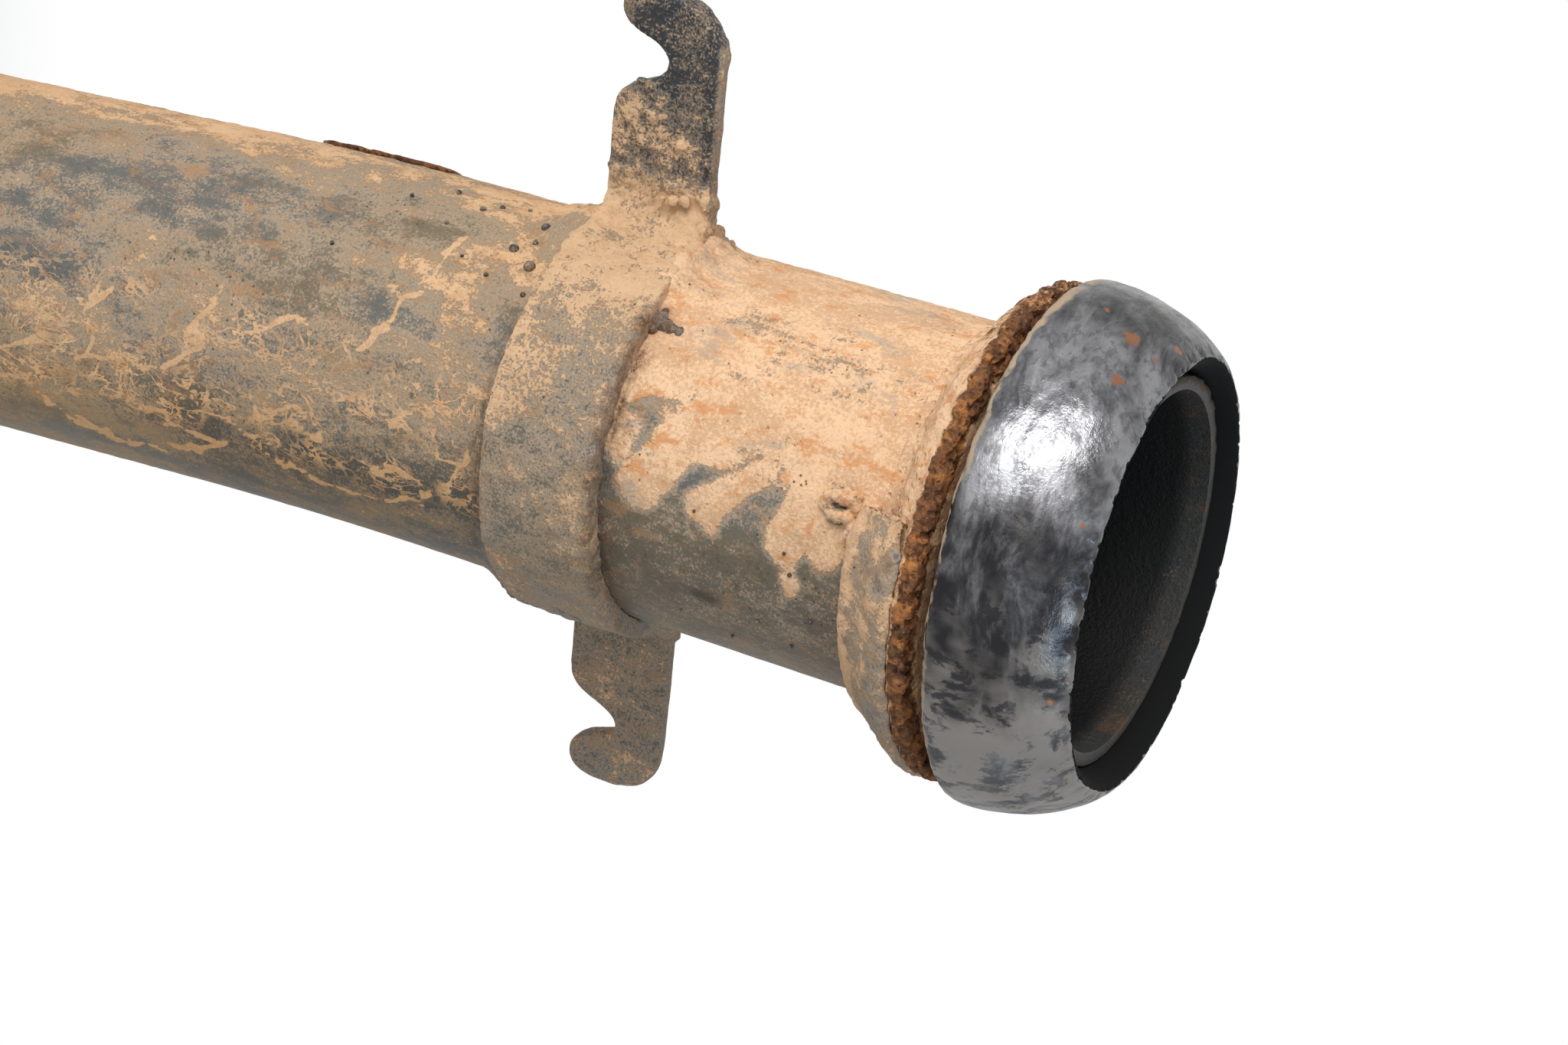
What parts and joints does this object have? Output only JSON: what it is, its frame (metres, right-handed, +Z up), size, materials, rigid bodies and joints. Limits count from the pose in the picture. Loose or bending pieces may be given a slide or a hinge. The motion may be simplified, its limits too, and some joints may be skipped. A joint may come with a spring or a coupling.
{
  "type": "corroded exhaust pipe end with donut gasket and spring hooks",
  "caption": "Rusty, mud-caked exhaust pipe end: bent steel tube with donut gasket, stop ring, collar and a saddle bracket with spring hooks.",
  "frame": {"origin": "centre of the tube's plain cut end, on the plane that it stands on", "axes": "+Z up the straight inlet to the gasket end; the two spring hooks point along +X and -X, and the bracket's saddle wraps the -Y side"},
  "size_m": [0.1028, 0.061, 0.308],
  "materials": {
    "muddy_steel": "dried tan mud over weathered steel",
    "muddy_bracket": "thin dry mud over dark blue-grey steel",
    "rusty_ring": "rough scaled rust",
    "muddy_collar": "grey-green steel with tan dust",
    "gasket_metal": "smeared gunmetal, sooty at the mouth",
    "rusty_patch": "dark red-brown rust"
  },
  "bodies": {
    "root": {"tube": "muddy_steel", "hook_bracket": "muddy_bracket", "stop_ring": "rusty_ring", "collar_saddle": "muddy_collar", "gasket": "gasket_metal", "patch_plate": "rusty_patch"}
  },
  "joints": []
}
